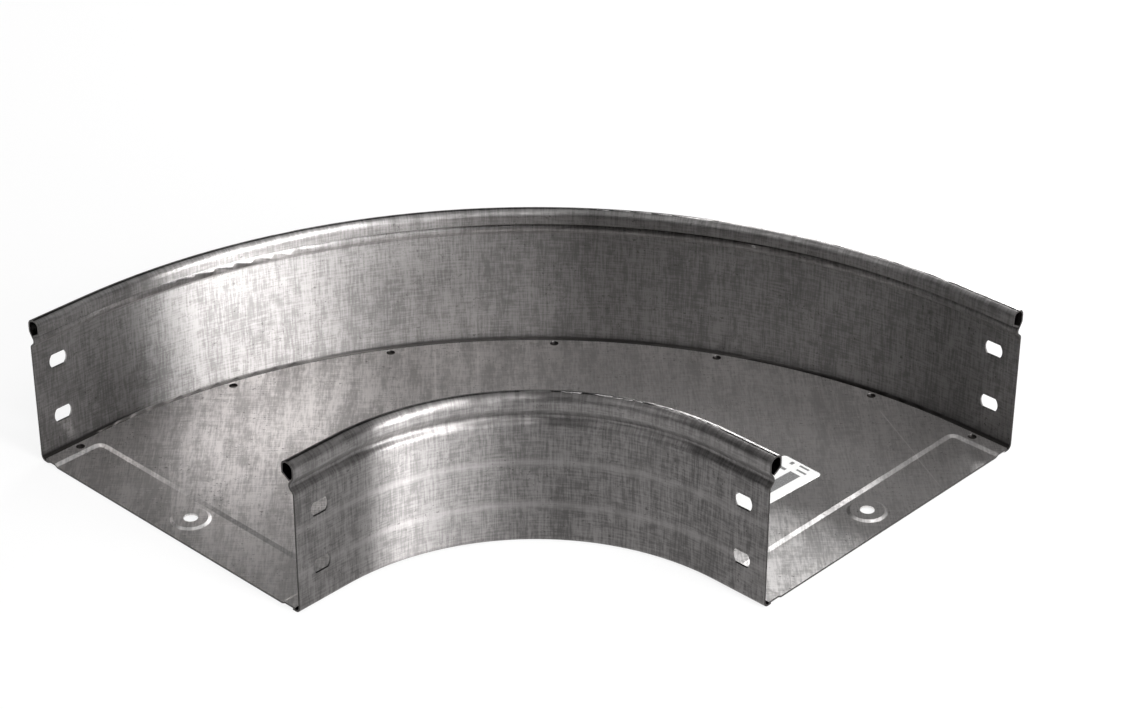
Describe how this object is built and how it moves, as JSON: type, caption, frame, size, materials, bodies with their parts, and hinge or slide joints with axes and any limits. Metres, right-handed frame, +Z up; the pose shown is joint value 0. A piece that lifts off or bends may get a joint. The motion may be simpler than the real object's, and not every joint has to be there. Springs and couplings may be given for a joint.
{
  "type": "cable tray bend",
  "caption": "Flat 90 degree bend of a cable tray: curved side walls with rolled rims, a stepped bottom sheet, connector slots and floor holes.",
  "frame": {"origin": "middle of the part's underside, below the centre of its square bounding box", "axes": "+Z up, out of the tray's open side; one end opens towards -Y at positive X, the other towards -X at positive Y, and the bend's centre lies towards -X -Y"},
  "size_m": [0.358, 0.358, 0.085],
  "materials": {
    "side_wall_steel": "satin",
    "bottom_steel": "satin",
    "label_paper": "satin"
  },
  "bodies": {
    "root": {"outer_side_wall": "side_wall_steel", "inner_side_wall": "side_wall_steel", "bottom_sheet": "bottom_steel", "label": "label_paper"}
  },
  "joints": []
}
